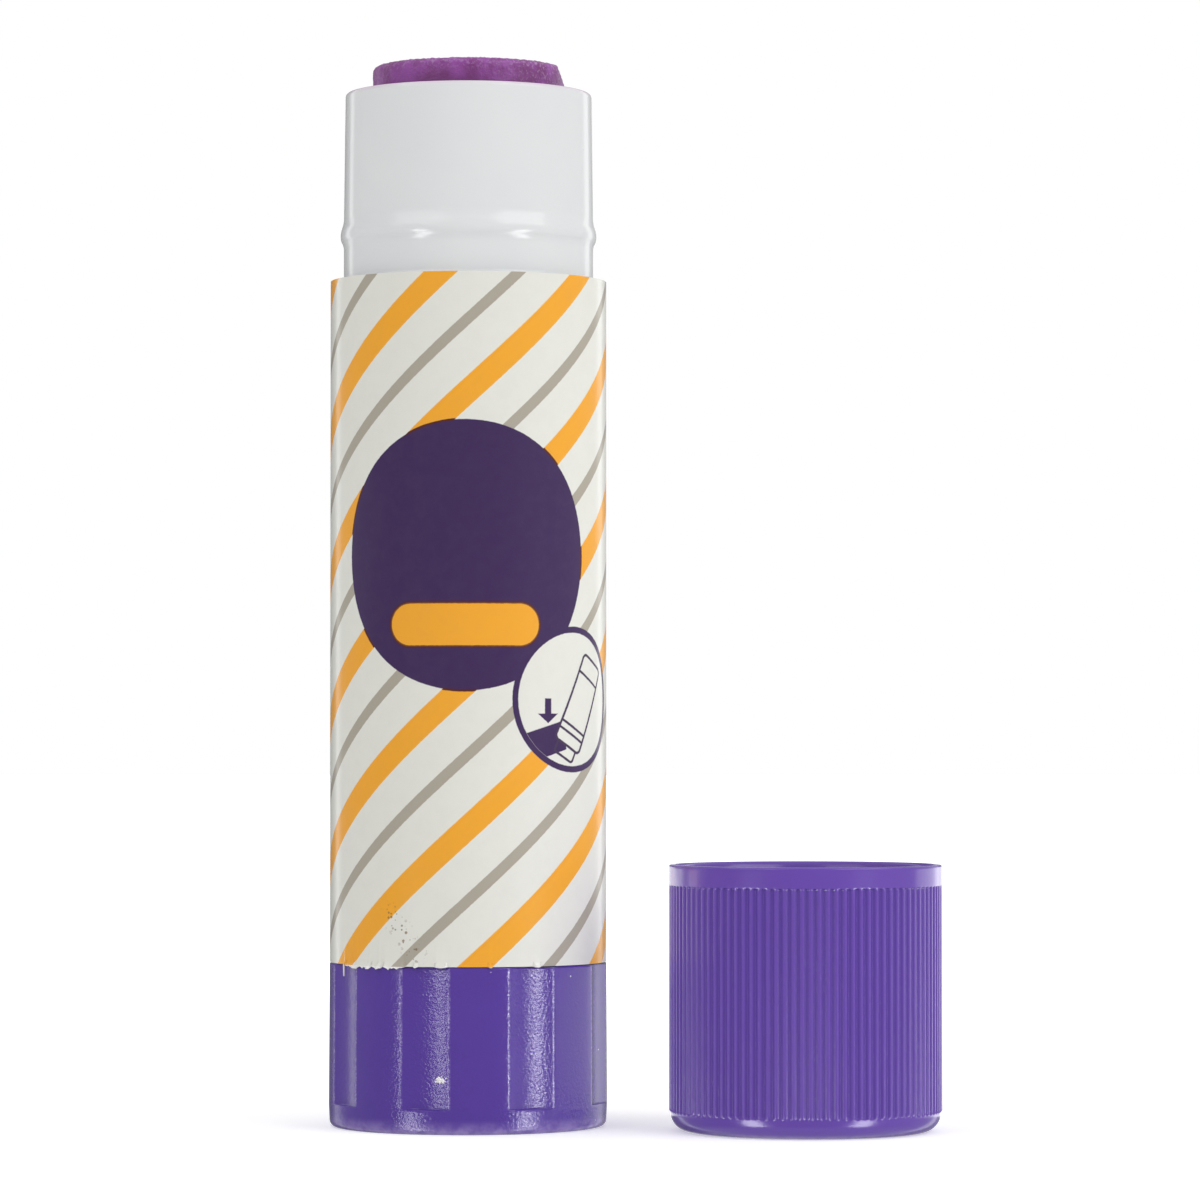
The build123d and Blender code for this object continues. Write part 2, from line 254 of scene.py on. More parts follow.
barrel_shell = draw_chain("barrel_shell", (
    (wide_bore_r, foot_z),
    (barrel_r, foot_z, 0.12 * mm),
    (barrel_r, shoulder_z, step_round),
    (neck_r, shoulder_z, step_round),
    (neck_r, bead_hollows[0], 0.34 * mm),
    (bead_r, bead_crests[0], 0.3 * mm),
    (bead_r, bead_crests[1], 0.36 * mm),
    (neck_r, bead_hollows[1], 0.5 * mm),
    (neck_rim_r, rim_z, 0.32 * mm),
    (neck_bore_r, rim_z, 0.24 * mm),
    (neck_bore_r, key_top_z),
    (neck_bore_r, step_z),
    (wide_bore_r, step_z - (wide_bore_r - neck_bore_r)),
    (wide_bore_r, key_foot_z),
    (wide_bore_r, groove_z + groove_half + groove_deep),
    (wide_bore_r + groove_deep, groove_z + groove_half),
    (wide_bore_r + groove_deep, groove_z - groove_half),
    (wide_bore_r, groove_z - groove_half - groove_deep),
), closed=True)
spin_chain(round_steps)
close_round()

# %% Keys and guides in the bore
def raise_rib(bearing, top_z, tip_r):
    """Draws a rib out of the bore at four bearings, from the foot of the keys to a height."""
    pick(lambda p: turn_off(p, bearing, key_pitch) < rib_half_angle and key_foot_z < p.z < top_z
         and hypot(p.x, p.y) < (neck_bore_r if p.z > step_z else wide_bore_r), "FACE")
    bpy.ops.mesh.extrude_region_move()
    mesh = bmesh.from_edit_mesh(bpy.context.object.data)
    drawn = [vert for vert in mesh.verts if vert.select]
    for old_r in (wide_bore_r, neck_bore_r):
        if old_r > tip_r:
            for vert in drawn:
                vert.select = abs(hypot(*vert.co.xy) - old_r) < 0.02 * mm
            mesh.select_flush_mode()
            scale_round(tip_r / old_r)


raise_rib(0, key_top_z, key_tip_r)
raise_rib(45, step_z, neck_bore_r)
bpy.ops.mesh.select_mode(type="VERT")
bpy.ops.mesh.select_all(action="SELECT")
bpy.ops.mesh.remove_doubles(threshold=1e-6)
finish_shape(barrel_shell)

# %% [markdown]
# ## Label
#
# The label is a printed film, rolled once round the barrel and lapped over itself at the back.
# A tube would hide how it is made, so the film is modelled as the sheet that it is: a flat grid
# with the artwork's own coordinates on it, bent into a circle by Simple Deform. Because the
# coordinates are laid out while the sheet is flat, the stripes stop and start again at the lap,
# as they do on a real label. The foot of the film is frayed where the knob rubs on it. Its small
# tatters hang outwards, so that the knob's wall turns clear behind them.

# %% Label, flat
label_low, label_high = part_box("label")
film_r = 13.0 * mm
film_t = 0.1 * mm
lap_w = 2.6 * mm
lap_lift = 0.022 * mm
fray_h = 0.4 * mm
film_w = 2 * pi * film_r + lap_w
film_low_z = label_low.z - 0.06 * mm
film_h = label_high.z - 0.2 * mm - film_low_z
film_columns = 480
film_foot = -film_h / 2

bpy.ops.object.select_all(action="DESELECT")
bpy.ops.mesh.primitive_grid_add(
    x_subdivisions=film_columns, y_subdivisions=20, size=1, calc_uvs=True,
    location=(0, -film_r, film_low_z + film_h / 2), rotation=(pi / 2, 0, 0),
)
label_film = bpy.context.object
label_film.name = label_film.data.name = "label_film"
label_film.scale = (film_w, film_h, 1)
bpy.ops.object.transform_apply(location=False, rotation=True, scale=True)
print("flat film", round(film_w / mm, 2), "by", round(film_h / mm, 2), "mm")

# %% Tatters along the foot of the film, and the lap lifted by its own thickness
tatters = (  # place along the film, half width, how far the edge hangs down
    (-12.9, 0.30, 0.12), (-12.3, 0.18, 0.22), (-11.9, 0.15, 0.10), (-11.5, 0.28, 0.34),
    (-11.0, 0.15, 0.12), (-10.6, 0.18, 0.26), (-10.1, 0.30, 0.18), (-9.7, 0.15, 0.32),
    (-9.2, 0.20, 0.10), (-8.8, 0.20, 0.30), (-8.4, 0.30, 0.20), (-7.8, 0.18, 0.12),
    (-7.4, 0.18, 0.34), (-7.0, 0.25, 0.20), (-6.5, 0.18, 0.26), (-6.0, 0.30, 0.08),
    (-4.6, 0.15, 0.10), (-2.2, 0.50, 0.05), (2.4, 0.18, 0.07), (6.9, 0.30, 0.06),
)
bpy.ops.object.mode_set(mode="EDIT")
bpy.ops.mesh.select_all(action="SELECT")
bpy.ops.mesh.bisect(plane_co=label_film.matrix_world @ Vector((0, 0, film_foot + fray_h)),
                    plane_no=(0, 0, 1))
for place, half, hangs in tatters:
    for reach, share, out in ((1, 0.5, 0.27), (0.5, 0.35, 0.03)):
        pick(lambda p: p.z < film_foot + fray_h / 2 and abs(p.x / mm - place) < half * reach)
        bpy.ops.transform.translate(value=(0, -out * mm, -hangs * share * mm))
for rise in (0.35, 0.7, 1.05, 1.4):
    pick(lambda p: p.x > film_w / 2 - lap_w - rise * mm)
    bpy.ops.transform.translate(value=(0, -lap_lift, 0))

# %% A sliver of film that hangs from the foot
sliver_u = -13.62 * mm
sliver_out = 0.2 * mm
column_w = film_w / film_columns
pick(lambda p: p.z < film_foot + 0.01 * mm and abs(p.x - sliver_u) < 0.8 * column_w)
bpy.ops.transform.translate(value=(0, -sliver_out, 0))
pick(lambda p: p.z < film_foot + 0.01 * mm and abs(p.x - sliver_u) < column_w / 2, "EDGE")
for down, narrow in ((0.35, 0.8), (0.4, 0.9), (0.35, 0.55)):
    bpy.ops.mesh.extrude_region_move(TRANSFORM_OT_translate={
        "value": (0.03 * mm, -0.01 * mm, -down * mm)})
    bpy.ops.transform.resize(value=(narrow, 1, 1))
bpy.ops.object.mode_set(mode="OBJECT")

# %% Roll the film round the barrel and give it its thickness
bend = label_film.modifiers.new("Roll", "SIMPLE_DEFORM")
bend.deform_method = "BEND"
bend.deform_axis = "Z"
bend.angle = film_w / film_r
bpy.ops.object.modifier_apply(modifier=bend.name)
wall = label_film.modifiers.new("Film", "SOLIDIFY")
wall.thickness = film_t
wall.offset = -1
bpy.ops.object.modifier_apply(modifier=wall.name)
bpy.ops.object.transform_apply(location=True, rotation=True, scale=True)
finish_shape(label_film)

# %% [markdown]
# ## Knob
#
# The knob is a purple cup with eight shallow flutes for the fingers. Its outline is spun in
# many narrow columns, and the columns that lie in a flute are drawn in towards the axis by the
# flute's own curve. That keeps the wall in one piece, and each flute's two long edges come out
# slightly rounded, which is what makes them glint. The flutes stop above the foot at a small
# ledge. Under the foot the knob is hollowed inside a narrow standing ring.

# %% Knob outline
knob_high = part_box("knob")[1]
knob_r = 13.02 * mm
knob_foot_r = 13.08 * mm
knob_top_z = 15.35 * mm
knob_bore_r = 10.9 * mm
knob_floor_z = 2.0 * mm
collar_r = 11.6 * mm
collar_lead = 0.4 * mm
snap_z = knob_top_z + 2.4 * mm
snap_half = 0.25 * mm
snap_rise = 0.3 * mm
hub_r = 4.1 * mm
hub_top_z = 11.0 * mm
ring_r = 10.93 * mm
ring_h = 0.4 * mm
flute_foot_z = 2.3 * mm
flute_count, flute_columns = 8, 90


def knob_wall(height):
    """A point of the knob's outer wall, which widens slightly down to its foot."""
    return (knob_foot_r - (knob_foot_r - knob_r) * height / knob_top_z, height)


flute_rows = (  # height, and how far down into the flute that row lies
    (flute_foot_z - 0.25 * mm, 0.0),
    (flute_foot_z - 0.10 * mm, 0.0), (flute_foot_z - 0.03 * mm, 0.06),
    (flute_foot_z + 0.01 * mm, 0.30), (flute_foot_z + 0.03 * mm, 0.86),
    (flute_foot_z + 0.08 * mm, 0.98), (flute_foot_z + 0.20 * mm, 1.0),
)
knob_shell = draw_chain("knob_shell", (
    (0, 0),
    (hub_r, 0, 0.2 * mm),
    (hub_r, ring_h, 0.1 * mm),
    (ring_r, ring_h),
    (ring_r, 0, 0.15 * mm),
    (knob_foot_r - 0.1 * mm, 0, 0.6 * mm),
    *(knob_wall(height) for height, _ in flute_rows),
    (knob_r, knob_top_z, 0.12 * mm),
    (collar_r, knob_top_z),
    (collar_r, snap_z - snap_half - snap_rise),
    (collar_r + snap_rise, snap_z - snap_half),
    (collar_r + snap_rise, snap_z + snap_half),
    (collar_r, snap_z + snap_half + snap_rise),
    (collar_r, knob_high.z - collar_lead),
    (collar_r - collar_lead, knob_high.z),
    (knob_bore_r, knob_high.z),
    (knob_bore_r, knob_floor_z, 0.3 * mm),
    (hub_r, knob_floor_z, 0.3 * mm),
    (hub_r, hub_top_z, 0.15 * mm),
    (0, hub_top_z),
))
spin_chain(flute_columns, 1 / flute_count)

# %% Flutes
flute_half = 10.25  # degrees from a flute's middle to its edge
flute_depth = 0.45 * mm
half_chord = knob_r * sin(radians(flute_half))
flute_sag = flute_depth - knob_r * (1 - cos(radians(flute_half)))
flute_r = (half_chord ** 2 + flute_sag ** 2) / (2 * flute_sag)
flute_axis_r = knob_r - flute_depth + flute_r
first_flute = -16.5 - 90
edge_soft = 0.022 * mm


def flute_depth_at(angle):
    """How deep the flute is at an angle from its middle, with its long edges softened."""
    turn = radians(min(angle, 14))
    across = flute_axis_r * sin(turn)
    wall = flute_axis_r * cos(turn) - sqrt(flute_r ** 2 - across ** 2)
    deep = knob_r - wall
    return (deep + sqrt(deep ** 2 + 4 * edge_soft ** 2)) / 2


flute_pitch = 360 / flute_count
column_angle = flute_pitch / flute_columns
mesh = bmesh.from_edit_mesh(knob_shell.data)
drawn = {}
for corner in mesh.verts:
    if hypot(*corner.co.xy) > 12.5 * mm and corner.co.z > flute_foot_z - 0.05 * mm:
        turn = turn_off(corner.co, first_flute, flute_pitch)
        share = [share for height, share in flute_rows if corner.co.z > height - 1e-6][-1]
        drawn.setdefault((round(turn / column_angle), share), []).append(corner)
draw_in(drawn, lambda key: 1 - key[1] * flute_depth_at(key[0] * column_angle) / knob_r)
close_round(flute_count)
print("fluted", sum(len(corners) for corners in drawn.values()), "corners of the knob's wall")
finish_shape(knob_shell, 40)

# %% Socket and webs inside the knob
def add_block(place, size, turn=0):
    """Adds a block of a size at a place, turned round the upright axis."""
    bpy.ops.object.select_all(action="DESELECT")
    bpy.ops.mesh.primitive_cube_add(size=1, location=place, rotation=(0, 0, radians(turn)))
    block = bpy.context.object
    block.scale = size
    bpy.ops.object.transform_apply(location=True, rotation=True, scale=True)
    return block


def combine(piece, blocks, operation):
    """Joins the blocks into one, and adds it to the piece or cuts it away."""
    choose(*blocks)
    if len(blocks) > 1:
        bpy.ops.object.join()
    tool = bpy.context.object
    cut = piece.modifiers.new("Combine", "BOOLEAN")
    cut.object, cut.operation, cut.solver = tool, operation, "EXACT"
    choose(piece)
    bpy.ops.object.modifier_apply(modifier=cut.name)
    bpy.data.objects.remove(tool)


web_mid, web_z = 7.5 * mm, 4.9 * mm
web_size = (7.3 * mm, 0.9 * mm, 6.2 * mm)
socket_z = 8.0 * mm
socket_size = (3.66 * mm, 3.66 * mm, 8.6 * mm)
webs = [add_block((web_mid * cos(radians(turn)), web_mid * sin(radians(turn)), web_z),
                  web_size, turn) for turn in range(0, 360, 60)]
combine(knob_shell, webs, "UNION")
combine(knob_shell, [add_block((0, 0, socket_z), socket_size)], "DIFFERENCE")
finish_shape(knob_shell, 40)

# %% [markdown]
# ## Cap
#
# The cap stands beside the stick with its mouth up. A hundred fine ribs give it its grip. A
# hundred separate bars would leave seams, so the wall is spun in eight columns to a rib and the
# columns between the crests are drawn in. The ribs stop under a smooth band at the mouth and
# over a rounded closed end. The bore has a groove for the neck's bead and a ledge that the rim
# of the barrel seats on, and the moulding gate left a nub in a shallow well under the closed end.

# %% Cap outline
cap_low, cap_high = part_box("cap")
cap_at = ((cap_low.x + cap_high.x) / 2, (cap_low.y + cap_high.y) / 2)
cap_r = (cap_high.x - cap_low.x) / 2
cap_h = cap_high.z
rib_count, rib_columns = 100, 8
rib_r = cap_r - 0.03 * mm
rib_root_r = cap_r - 0.22 * mm
end_skin_r = rib_root_r + 0.05 * mm
cap_bore_r = 11.85 * mm
rib_foot_z = 1.97 * mm
rib_top_z = cap_h - 1.98 * mm
cap_groove_z = cap_h - 4.05 * mm
cap_groove_deep = 0.28 * mm
seal_z = 6.75 * mm
seal_w = 0.65 * mm
cap_floor_z = 1.3 * mm
mouth_lead = 0.35 * mm
nub_r, nub_z = 0.6 * mm, 0.1 * mm
well_r, well_z = 2.6 * mm, 0.3 * mm

cap_shell = draw_chain("cap_shell", (
    (0, nub_z),
    (nub_r, nub_z, 0.05 * mm),
    (nub_r, well_z),
    (well_r, well_z, 0.1 * mm),
    (well_r, 0, 0.08 * mm),
    (end_skin_r, 0, 1.75 * mm),
    (end_skin_r, rib_foot_z - 0.15 * mm),
    (rib_r, rib_foot_z),
    (rib_r, rib_foot_z + 0.15 * mm),
    (rib_r, rib_top_z - 0.12 * mm),
    (rib_r, rib_top_z),
    (cap_r, rib_top_z + 0.08 * mm),
    (cap_r, rib_top_z + 0.16 * mm),
    (cap_r, cap_h, 0.2 * mm),
    (cap_bore_r + mouth_lead, cap_h, 0.1 * mm),
    (cap_bore_r, cap_h - mouth_lead),
    (cap_bore_r, cap_groove_z + 0.95 * mm, 0.3 * mm),
    (cap_bore_r + cap_groove_deep, cap_groove_z, 0.5 * mm),
    (cap_bore_r, cap_groove_z - 1.15 * mm, 0.3 * mm),
    (cap_bore_r, seal_z),
    (cap_bore_r - seal_w, seal_z, 0.1 * mm),
    (cap_bore_r - seal_w, cap_floor_z, 0.6 * mm),
    (0, cap_floor_z),
), at=cap_at)
spin_chain(rib_columns, 1 / rib_count, cap_at)

# %% Ribs
rib_pitch = 360 / rib_count
rib_cut = {0: 0.0, 1: 0.06, 2: 0.42, 3: 0.94, 4: 1.0}
mesh = bmesh.from_edit_mesh(cap_shell.data)
drawn = {}
for corner in mesh.verts:
    reach = hypot(corner.co.x - cap_at[0], corner.co.y - cap_at[1])
    if reach > rib_r - 0.01 * mm and rib_foot_z - 1e-6 < corner.co.z < rib_top_z + 1e-6:
        turn = turn_off(corner.co, 0, rib_pitch, cap_at)
        drawn.setdefault(round(turn / (rib_pitch / rib_columns)), []).append(corner)
draw_in(drawn, lambda key: 1 - rib_cut[key] * (rib_r - rib_root_r) / rib_r, cap_at)
close_round(rib_count, cap_at)
finish_shape(cap_shell, 50)

# %% [markdown]
# ## Glue
#
# The glue is a cast stick that has been used: its top is wiped flat, its rim is crumbly, and
# one side is worn to a bevel. The outline is turned with extra rings near the rim. The worn
# side is flattened by scaling what stands past a slanting plane to nothing across that plane.
# Small random moves and a procedural Displace then break up the rim, and only the rim.

# %% Glue outline
glue_low, glue_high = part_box("glue")
glue_r = 9.03 * mm
glue_top_z = glue_high.z - 0.07 * mm
core_r, core_top_z = 3.4 * mm, 93.15 * mm
nut_hole_r, nut_hole_z = 4.33 * mm, 34.18 * mm
glue_shell = draw_chain("glue_column", (
    (0, core_top_z),
    (core_r, core_top_z),
    (core_r, nut_hole_z),
    (nut_hole_r, nut_hole_z),
    (nut_hole_r, glue_low.z),
    (glue_r, glue_low.z),
    *((glue_r, glue_top_z - down * mm) for down in (3.2, 2.6, 2.2, 1.9, 1.6, 1.3, 1.0)),
    (glue_r, glue_top_z, 0.5 * mm),
    *((ring * mm, glue_top_z) for ring in (7.9, 7.6, 7.2, 6.6, 5.8, 4.8, 3.6, 2.2, 0.9)),
    (0, glue_top_z),
))
spin_chain(288)
close_round()

# %% The worn side
worn_deep = 1.75
worn_low = Vector((glue_r, 0, glue_high.z - worn_deep * mm))
worn_out = Vector((worn_deep, 0, 0.75)).normalized()
worn_along = Vector((0, 1, 0))
worn_up = worn_out.cross(worn_along)
pick(lambda p: (p - worn_low).dot(worn_out) > 0)
bpy.ops.transform.resize(
    value=(1, 1, 0), center_override=worn_low, constraint_axis=(False, False, True),
    orient_type="GLOBAL", orient_matrix=(worn_along, worn_up, worn_out),
    orient_matrix_type="GLOBAL",
)

# %% The crumbly rim
def on_rim(place):
    return hypot(place.x, place.y) > 7.4 * mm and place.z > glue_high.z - 1.3 * mm


pick(on_rim)
bpy.ops.transform.vertex_random(offset=0.035 * mm, uniform=0.3, normal=0.5, seed=5)
bpy.ops.object.mode_set(mode="OBJECT")
rim_group = glue_shell.vertex_groups.new(name="rim")
for corner in glue_shell.data.vertices:
    share = max(0, min(1, (hypot(*corner.co.xy) - 6.8 * mm) / (1.4 * mm)))
    share *= max(0, min(1, (corner.co.z - glue_high.z + 2.4 * mm) / (1.6 * mm)))
    if share > 0:
        rim_group.add([corner.index], share, "REPLACE")
for name, size, strength in (("lumps", 0.9, 0.10), ("crumbs", 0.35, 0.09)):
    texture = bpy.data.textures.new(name, "CLOUDS")
    texture.noise_scale = size * mm
    texture.noise_depth = 1
    push = glue_shell.modifiers.new(name, "DISPLACE")
    push.texture = texture
    push.texture_coords = "LOCAL"
    push.vertex_group = "rim"
    push.strength = strength * mm
    push.mid_level = 0.52
    bpy.ops.object.modifier_apply(modifier=push.name)
finish_shape(glue_shell, 60)

# %% [markdown]
# ## Helpers for finishes
#
# A finish is a small network of shader nodes. A few helpers keep the networks readable: one adds
# a node and plugs in what feeds it, and others do sums. Effects that several finishes share,
# such as a moulded skin or stray dust, are node groups with named sockets. A group gives out
# only heights, masks and distances, and each finish decides what it does with them.

# %% Helpers for finishes
def paint(red, green, blue):
    """A colour as a printer names it, from 0 to 255, turned into linear light."""
    shares = [value / 255 for value in (red, green, blue)]
    return (*((s / 12.92 if s < 0.04045 else ((s + 0.055) / 1.055) ** 2.4) for s in shares), 1)


def feed_socket(tree, feed, socket):
    """Plugs a node or a socket into a socket, or sets the socket to a plain value."""
    if isinstance(feed, bpy.types.Node):
        feed = feed.outputs[0]
    if isinstance(feed, bpy.types.NodeSocket):
        tree.links.new(feed, socket)
    elif feed is not None:
        socket.default_value = feed


def add_node(tree, kind, *feeds, named=(), **settings):
    """Adds a shader node. Feeds go in by order, and those in named by the socket's name."""
    made = tree.nodes.new("ShaderNode" + kind)
    for name, value in settings.items():
        setattr(made, name, value)
    for place, feed in [*enumerate(feeds), *dict(named).items()]:
        feed_socket(tree, feed, made.inputs[place])
    return made


def maths(tree, operation, *feeds):
    return add_node(tree, "Math", *feeds, operation=operation).outputs[0]


def vector(tree, operation, *feeds):
    return add_node(tree, "VectorMath", *feeds, operation=operation).outputs


def ways(tree, place):
    """How far a place is to the right, to the back and up."""
    return add_node(tree, "SeparateXYZ", place).outputs


def times(tree, value, *others):
    for other in others:
        value = maths(tree, "MULTIPLY", value, other)
    return value


def minus(tree, first, second):
    return maths(tree, "SUBTRACT", first, second)


def fade(tree, value, start, end, low=0.0, high=1.0):
    """Turns a value smoothly from low, at start, to high, at end."""
    return add_node(tree, "MapRange", value, start, end, low, high,
                    interpolation_type="SMOOTHSTEP").outputs[0]


def lay_over(tree, under, over, mask):
    """Lays one colour over another where the mask is 1."""
    return add_node(tree, "Mix", named={0: mask, 6: under, 7: over}, data_type="RGBA").outputs[2]


def coat(tree, shader, colour, roughness, relief, depth):
    """Feeds a finish its colour, its roughness, and a fine relief of a depth."""
    feed_socket(tree, colour, shader["Base Color"])
    feed_socket(tree, roughness, shader["Roughness"])
    feed_socket(tree, add_node(tree, "Bump", named={
        "Height": relief, "Distance": depth, "Strength": 1.0}), shader["Normal"])


def new_finish(name):
    finish = bpy.data.materials.new(name)
    finish.use_nodes = True
    return finish, finish.node_tree, finish.node_tree.nodes["Principled BSDF"].inputs


def dress(piece, finish):
    """Gives a piece one finish, whatever it had before."""
    if piece.material_slots:
        for held in piece.material_slots:
            held.material = finish
    else:
        piece.data.materials.append(finish)


# %% Helpers for node groups
def new_group(name, takes, gives):
    """Starts a node group. It returns the group, its inside sources and its inside sinks."""
    group = bpy.data.node_groups.new(name, "ShaderNodeTree")
    for label, start in takes.items():
        kind = "NodeSocketVector" if isinstance(start, tuple) else "NodeSocketFloat"
        group.interface.new_socket(label, in_out="INPUT", socket_type=kind).default_value = start
    for label, kind in gives.items():
        group.interface.new_socket(label, in_out="OUTPUT", socket_type="NodeSocket" + kind)
    return group, group.nodes.new("NodeGroupInput").outputs, group.nodes.new("NodeGroupOutput").inputs


def use_group(tree, group, **feeds):
    """Places a group in a finish. A socket's name is written with underscores for its spaces."""
    made = tree.nodes.new("ShaderNodeGroup")
    made.node_tree = group
    for name, feed in feeds.items():
        feed_socket(tree, feed, made.inputs[name.replace("_", " ")])
    return made


def reach_of(tree, place):
    """How far a place is from the upright axis."""
    return vector(tree, "LENGTH", vector(tree, "MULTIPLY", place, (1, 1, 0))[0])[1]


def place_in_mm(tree, at=(0, 0)):
    """Object coordinates in millimetres, counted from an upright axis."""
    coordinates = add_node(tree, "TexCoord").outputs["Object"]
    return add_node(tree, "Mapping", coordinates, named={
        "Scale": (1 / mm,) * 3, "Location": (-at[0] / mm, -at[1] / mm, 0)}).outputs[0]


# %% [markdown]
# ## Shared effects
#
# The moulded skin is the faint orange peel of an injection mould. Stray specks are dust and
# crumbs: one point in each cell of a Voronoi pattern, and only a share of the cells keeps its
# speck. Rub marks are a noise that is stretched along the stick, as handling and the turning
# cap leave them.

# %% Moulded skin, stray specks and rub marks
skin, given, sent = new_group(
    "Moulded skin", {"Place": (0, 0, 0), "Size": 0.3, "Roughness": 0.5}, {"Height": "Float"})
feed_socket(skin, add_node(
    skin, "TexNoise", named={"Vector": given["Place"], "Detail": 2.0,
                             "Roughness": given["Roughness"],
                             "Scale": maths(skin, "DIVIDE", 1.0, given["Size"])}), sent["Height"])


def skin_on(tree, place, size, roughness=0.5):
    """The skin's height, from 0 to 1, with lumps of a size in millimetres."""
    return use_group(tree, skin, Place=place, Size=size, Roughness=roughness)


specks, given, sent = new_group(
    "Stray specks", {"Place": (0, 0, 0), "Spacing": 3.0, "Size": 0.1, "Share": 0.3},
    {"Mask": "Float"})
cells = add_node(specks, "TexVoronoi", named={
    "Vector": given["Place"], "Scale": maths(specks, "DIVIDE", 1.0, given["Spacing"])})
chance = add_node(specks, "SeparateColor", cells.outputs["Color"]).outputs
reach = times(specks, cells.outputs["Distance"], given["Spacing"])
size = times(specks, given["Size"], maths(specks, "ADD", 0.4, chance[1]))
speck = fade(specks, maths(specks, "DIVIDE", reach, size), 1.0, 0.75)
kept = maths(specks, "LESS_THAN", chance[0], given["Share"])
feed_socket(specks, times(specks, speck, kept), sent["Mask"])

rubs, given, sent = new_group(
    "Rub marks", {"Place": (0, 0, 0), "Stretch": (1.0, 1.0, 0.1), "Amount": 0.3},
    {"Mask": "Float"})
streaks = add_node(rubs, "TexNoise", named={
    "Vector": vector(rubs, "MULTIPLY", given["Place"], given["Stretch"])[0],
    "Scale": 1.0, "Detail": 4.0, "Roughness": 0.6})
edge = minus(rubs, 0.8, times(rubs, given["Amount"], 0.5))
feed_socket(rubs, fade(rubs, streaks, edge, maths(rubs, "ADD", edge, 0.15)), sent["Mask"])
print("groups:", ", ".join(group.name for group in bpy.data.node_groups))

# %% [markdown]
# ## White plastic
#
# The barrel, the screw and the carrier are white polypropylene: a soft gloss, a trace of mould
# texture, and no strong colour. Too much gloss would look like porcelain, and none like chalk,
# so the surface is fairly smooth but reflects a little less than usual, and handling marks dull
# it here and there. Glue has left a faint pink smear at the rim.

# %% White plastic
white_plastic, tree, shader = new_finish("White plastic")
place = place_in_mm(tree)
cloud = skin_on(tree, place, 6.0)
marks = use_group(tree, rubs, Place=place, Stretch=(0.9, 0.9, 0.12), Amount=0.35)
dust = use_group(tree, specks, Place=place, Spacing=3.5, Size=0.07, Share=0.25)
colour = lay_over(tree, paint(228, 229, 229), paint(222, 224, 226), cloud)
colour = lay_over(tree, colour, paint(196, 196, 192), times(tree, dust, 0.5))
near_rim = fade(tree, ways(tree, place)[2], rim_z / mm - 0.45, rim_z / mm - 0.1)
smear = times(tree, near_rim, fade(tree, cloud, 0.3, 0.6, 0.2, 0.6))
colour = lay_over(tree, colour, paint(224, 196, 222), smear)
coat(tree, shader, colour, maths(tree, "MULTIPLY_ADD", marks, 0.08, 0.15),
     skin_on(tree, place, 0.35), 0.0016 * mm)
shader["Specular IOR Level"].default_value = 0.4
for node in ("spindle", "carrier"):
    dress(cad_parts[node], white_plastic)
dress(barrel_shell, white_plastic)

# %% [markdown]
# ## Purple plastic
#
# Knob and cap come from the same purple plastic but from different moulds. The knob's mould was
# spark eroded, so its lands have a coarse skin that breaks a highlight into grains. The cap's
# is finer. One function builds both, with the skin's size and depth as its settings. Both get a
# patchy painted highlight at the corner that they stand on, as if lit from below. On the knob the
# long edges of the flutes get a painted glint in grains, and one flute carries a scuff. On the
# cap the valleys between the ribs get painted shade, because little light gets into them.

# %% Purple plastic
def purple_plastic(name, at, body, shade, skin_size, skin_depth, gloss, dust_share, corner_z):
    """Builds the purple finish, with a painted highlight at its foot. It also returns what the knob
    and the cap add to it.
    """
    finish, tree, shader = new_finish(name)
    place = place_in_mm(tree, at)
    cloud = skin_on(tree, place, 5.0)
    dust = use_group(tree, specks, Place=place, Spacing=1.2, Size=0.085, Share=dust_share)
    marks = skin_on(tree, place, 1.2, 0.6)
    colour = lay_over(tree, body, shade, cloud)
    # Painted highlight: the corner it stands on is laid paler in patches, standing in for light from
    # below.
    low = fade(tree, ways(tree, place)[2], corner_z, 0.1 * corner_z)
    painted_foot_highlight = times(tree, low, fade(tree, marks, 0.3, 0.7, 0.25, 0.75))
    colour = lay_over(tree, colour, paint(158, 138, 198), painted_foot_highlight)
    colour = lay_over(tree, colour, paint(214, 206, 226), times(tree, dust, 0.85))
    coat(tree, shader, colour, maths(tree, "MULTIPLY_ADD", marks, 0.03, gloss),
         skin_on(tree, place, skin_size, 0.6), skin_depth)
    return finish, tree, shader, colour, place


# %% The knob's finish
knob_finish, tree, shader, colour, place = purple_plastic(
    "Purple plastic, knob", (0, 0), paint(86, 57, 156), paint(80, 52, 149),
    0.28, 0.034 * mm, 0.14, 0.20, 1.5)
scuff_x, scuff_z, scuff_flat = -2.2, 5.05, 2.2
scuff_place = add_node(tree, "Mapping", place, named={
    "Location": (-scuff_x, 0, -scuff_z * scuff_flat), "Scale": (1, 0, scuff_flat)}).outputs[0]
ragged = add_node(tree, "TexNoise", named={"Vector": place, "Scale": 5.0, "Detail": 4.0})
scuff = maths(tree, "ADD", vector(tree, "LENGTH", scuff_place)[1], times(tree, ragged, 2.2))
x_way, y_way, up_way = ways(tree, place)
in_front = maths(tree, "LESS_THAN", y_way, 0.0)
scuff = times(tree, fade(tree, scuff, 1.72, 1.50), in_front)
